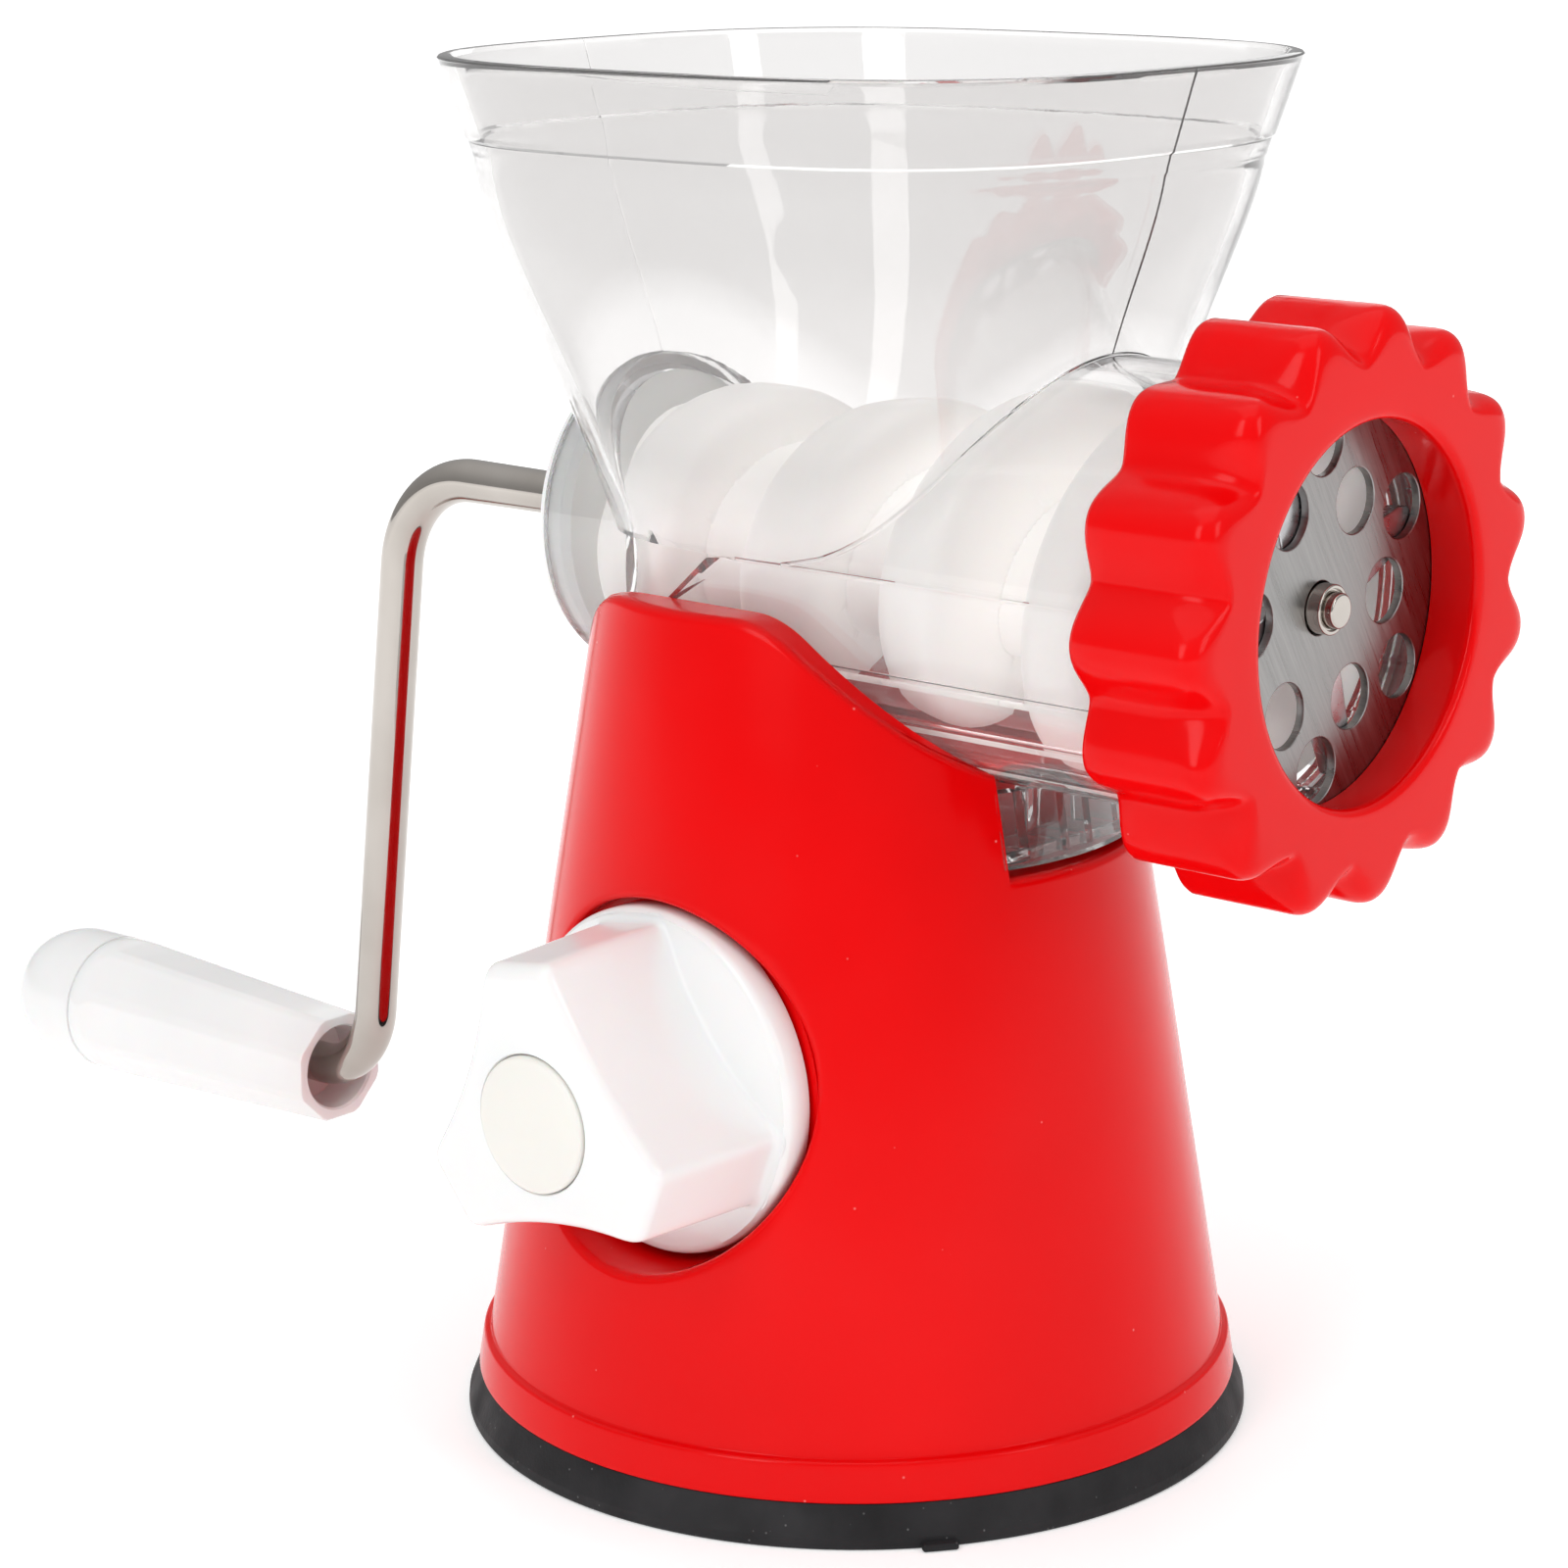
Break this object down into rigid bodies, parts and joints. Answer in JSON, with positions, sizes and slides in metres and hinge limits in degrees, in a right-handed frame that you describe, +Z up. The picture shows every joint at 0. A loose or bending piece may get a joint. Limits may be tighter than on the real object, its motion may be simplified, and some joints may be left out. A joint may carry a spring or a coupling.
{
  "type": "hand crank meat grinder",
  "caption": "Suction-base hand meat grinder: clear hopper and barrel on a tapered base, auger driven by a bent crank, perforated plate behind a lobed ring nut, knob that sets the suction",
  "frame": {"origin": "centre of the rubber foot's resting face", "axes": "+Z up, barrel along Y with the ring nut towards -Y and the crank towards +Y, suction knob on the -X side"},
  "size_m": [0.1483, 0.3259, 0.2319],
  "materials": {
    "red_plastic": "glossy injection-moulded red plastic",
    "white_plastic": "glossy white moulded plastic",
    "auger_white": "satin white food-grade plastic",
    "cream_plastic": "cream insert with a satin face",
    "clear_plastic": "clear polystyrene with moulding lines",
    "black_rubber": "matte black rubber",
    "seal_rubber": "soft grey silicone",
    "brushed_steel": "brushed stainless plate",
    "blade_steel": "plain stainless steel",
    "nickel_rod": "nickel-plated steel rod",
    "brass_bush": "turned brass"
  },
  "bodies": {
    "root": {"base_housing": "red_plastic", "suction_pad": "black_rubber", "stem_guide": "white_plastic", "guide_screws": "blade_steel", "lift_spring": "blade_steel", "shaft_bush": "brass_bush", "hopper_barrel": "clear_plastic", "rear_bush": "white_plastic", "barrel_seal": "seal_rubber", "perforated_plate": "brushed_steel"},
    "ring": {"ring_nut": "red_plastic"},
    "auger_drive": {"auger": "auger_white", "auger_spindle": "nickel_rod", "cross_blade": "blade_steel", "crank_pin": "blade_steel", "thrust_washer": "cream_plastic", "crank_rod": "nickel_rod", "grip_washer": "blade_steel"},
    "grip": {"grip": "white_plastic", "grip_cap": "white_plastic"},
    "knob": {"knob": "white_plastic", "knob_cap": "cream_plastic", "knob_screw": "blade_steel", "cam_shaft": "blade_steel", "lift_cam": "cream_plastic", "cam_pin": "blade_steel"},
    "stem": {"suction_stem": "blade_steel", "suction_plate": "blade_steel", "stem_nut": "blade_steel"}
  },
  "joints": [
    {"name": "crank_spin", "type": "hinge", "parent": "root", "child": "auger_drive", "pos_m": [0, 0, 0.1516], "axis": [0, 1, 0], "continuous": true},
    {"name": "grip_spin", "type": "hinge", "parent": "auger_drive", "child": "grip", "pos_m": [0, 0.16, 0.0312], "axis": [0, 1, 0], "continuous": true},
    {"name": "ring_turn", "type": "hinge", "parent": "root", "child": "ring", "pos_m": [0, -0.09, 0.1516], "axis": [0, -1, 0], "range_deg": [0, 90]},
    {"name": "knob_turn", "type": "hinge", "parent": "root", "child": "knob", "pos_m": [-0.05, 0, 0.0691], "axis": [-1, 0, 0], "range_deg": [0, 90]},
    {"name": "stem_lift", "type": "slide", "parent": "root", "child": "stem", "axis": [0, 0, 1], "range_m": [0, 0.0045], "deforming": ["suction_pad", "lift_spring"]}
  ],
  "couplings": [
    {"joint": "knob_turn", "follows": "stem_lift", "rad_per_m": 349.06}
  ]
}
